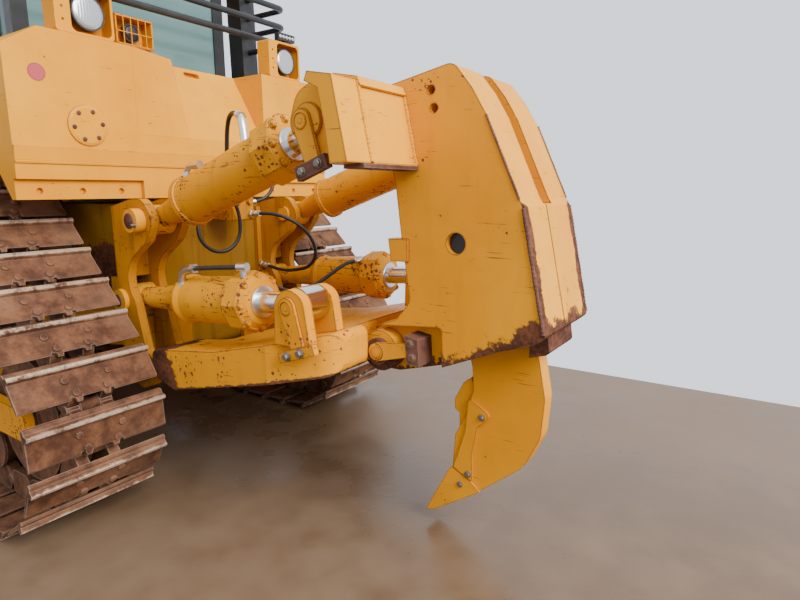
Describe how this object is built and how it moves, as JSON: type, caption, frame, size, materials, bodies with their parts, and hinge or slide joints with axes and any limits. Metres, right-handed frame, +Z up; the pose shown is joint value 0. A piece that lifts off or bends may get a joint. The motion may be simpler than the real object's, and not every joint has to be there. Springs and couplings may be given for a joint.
{
  "type": "crawler bulldozer with ripper",
  "caption": "Large crawler bulldozer with raised drive sprockets, semi-U blade, closed cab, rear fuel tank and an adjustable single-shank ripper on two pairs of cylinders.",
  "frame": {"origin": "on the ground, under the middle of the whole machine from blade tips to ripper", "axes": "+X forwards, +Y to the left, +Z up"},
  "size_m": [7.6522, 3.94, 3.448],
  "materials": {
    "hose_rubber": "matte",
    "yellow_paint": "satin",
    "track_steel": "matte",
    "chrome_rod": "polished",
    "bare_steel": "matte",
    "glass": "gloss",
    "seat_cloth": "matte",
    "black_plastic": "satin",
    "black_paint": "satin",
    "engine_iron": "matte"
  },
  "bodies": {
    "root": {"track_left": "track_steel", "track_right": "track_steel", "sprockets": "bare_steel", "idlers_and_rollers": "bare_steel", "track_frame_left": "yellow_paint", "track_frame_right": "yellow_paint", "main_frame": "yellow_paint", "rear_case": "yellow_paint", "belly_guard": "yellow_paint", "engine": "engine_iron", "hood": "yellow_paint", "engine_side_panels": "yellow_paint", "radiator_guard": "yellow_paint", "grille": "black_paint", "fuel_tank": "yellow_paint", "fenders": "yellow_paint", "cab_shell": "black_paint", "cab_roof": "yellow_paint", "cab_glass": "glass", "seat": "seat_cloth", "consoles": "black_plastic", "rops": "yellow_paint", "exhaust_stack": "bare_steel", "air_precleaner": "black_plastic", "ripper_brackets": "yellow_paint", "ripper_link_pins": "yellow_paint", "lift_cylinder_pins": "yellow_paint", "blade_yokes": "yellow_paint", "guard_bars": "black_paint", "hose_valve_high": "hose_rubber", "hose_valve_left": "hose_rubber", "hose_valve_right": "hose_rubber", "lamp_brackets": "yellow_paint", "valve_block": "yellow_paint", "work_lamps": "black_plastic"},
    "door_left": {"door_left": "yellow_paint", "door_glass_left": "glass"},
    "door_right": {"door_right": "yellow_paint", "door_glass_right": "glass"},
    "ripper_link": {"ripper_link": "yellow_paint"},
    "carriage_pins": {"carriage_pins": "yellow_paint"},
    "carriage": {"carriage": "yellow_paint", "shank": "yellow_paint", "shank_pin": "yellow_paint", "shank_protector": "yellow_paint", "ripper_tip": "yellow_paint"},
    "tilt_pins": {"tilt_cylinder_pins": "yellow_paint"},
    "tilt_barrels": {"tilt_barrels": "yellow_paint", "hose_tilt": "hose_rubber"},
    "tilt_rods": {"tilt_rods": "chrome_rod"},
    "lift_barrels": {"lift_barrels": "yellow_paint", "hose_lift": "hose_rubber"},
    "lift_rods": {"lift_rods": "chrome_rod"},
    "blade": {"blade": "yellow_paint", "cutting_edges": "bare_steel", "push_arms": "yellow_paint", "blade_tilt_cylinder": "yellow_paint", "blade_brace": "yellow_paint"},
    "blade_lift_barrels": {"blade_lift_barrels": "yellow_paint"},
    "blade_lift_rods": {"blade_lift_rods": "chrome_rod"}
  },
  "joints": [
    {"name": "ripper_lift", "type": "hinge", "parent": "root", "child": "ripper_link", "pos_m": [-1.6765, 0, 0.7], "axis": [0, 1, 0], "range_deg": [-34, 20]},
    {"name": "carriage_level", "type": "hinge", "parent": "ripper_link", "child": "carriage_pins", "pos_m": [-3.0345, 0, 0.934], "axis": [0, 1, 0], "range_deg": [-17.1, 28.72]},
    {"name": "ripper_pitch", "type": "hinge", "parent": "carriage_pins", "child": "carriage", "pos_m": [-3.0345, 0, 0.934], "axis": [0, -1, 0], "range_deg": [-3, 14]},
    {"name": "tilt_cylinder_swing", "type": "hinge", "parent": "root", "child": "tilt_pins", "pos_m": [-1.7615, 0, 1.52], "axis": [0, 1, 0], "range_deg": [-35.71, 21.21]},
    {"name": "tilt_barrel_swing", "type": "hinge", "parent": "tilt_pins", "child": "tilt_barrels", "pos_m": [-1.7615, 0, 1.52], "axis": [0, -1, 0], "range_deg": [-0.98, 2.76]},
    {"name": "tilt_rod_stroke", "type": "slide", "parent": "tilt_barrels", "child": "tilt_rods", "axis": [-0.9463, 0, 0.3233], "range_m": [-0.0563, 0.2261]},
    {"name": "lift_barrel_swing", "type": "hinge", "parent": "root", "child": "lift_barrels", "pos_m": [-1.5415, 0, 1.08], "axis": [0, 1, 0], "range_deg": [-30.73, 18.28]},
    {"name": "lift_rod_stroke", "type": "slide", "parent": "lift_barrels", "child": "lift_rods", "axis": [-0.9974, 0, 0.0723], "range_m": [-0.1385, 0.2284]},
    {"name": "blade_lift", "type": "hinge", "parent": "root", "child": "blade", "pos_m": [0.2385, 0, 0.5], "axis": [0, -1, 0], "range_deg": [-10.1, 21.9]},
    {"name": "blade_barrel_swing", "type": "hinge", "parent": "root", "child": "blade_lift_barrels", "pos_m": [2.4285, 0, 1.8], "axis": [0, -1, 0], "range_deg": [-9.27, 19.51]},
    {"name": "blade_rod_stroke", "type": "slide", "parent": "blade_lift_barrels", "child": "blade_lift_rods", "axis": [0.3804, 0, -0.9248], "range_m": [-0.9775, 0.4562]},
    {"name": "door_left_swing", "type": "hinge", "parent": "root", "child": "door_left", "pos_m": [-0.6095, 0.747, 2.6], "axis": [0, 0, 1], "range_deg": [0, 95]},
    {"name": "door_right_swing", "type": "hinge", "parent": "root", "child": "door_right", "pos_m": [-0.6095, -0.747, 2.6], "axis": [0, 0, -1], "range_deg": [0, 95]}
  ],
  "couplings": [
    {"joint": "carriage_level", "follows": "ripper_lift", "ratio": -0.8299},
    {"joint": "tilt_cylinder_swing", "follows": "ripper_lift", "ratio": 1.0355},
    {"joint": "lift_barrel_swing", "follows": "ripper_lift", "ratio": 0.8892},
    {"joint": "lift_rod_stroke", "follows": "ripper_lift", "m_per_rad": -0.368},
    {"joint": "tilt_barrel_swing", "follows": "ripper_pitch", "ratio": 0.1615},
    {"joint": "tilt_rod_stroke", "follows": "ripper_pitch", "m_per_rad": 0.8845},
    {"joint": "blade_barrel_swing", "follows": "blade_lift", "ratio": 0.868},
    {"joint": "blade_rod_stroke", "follows": "blade_lift", "m_per_rad": -2.5313}
  ]
}
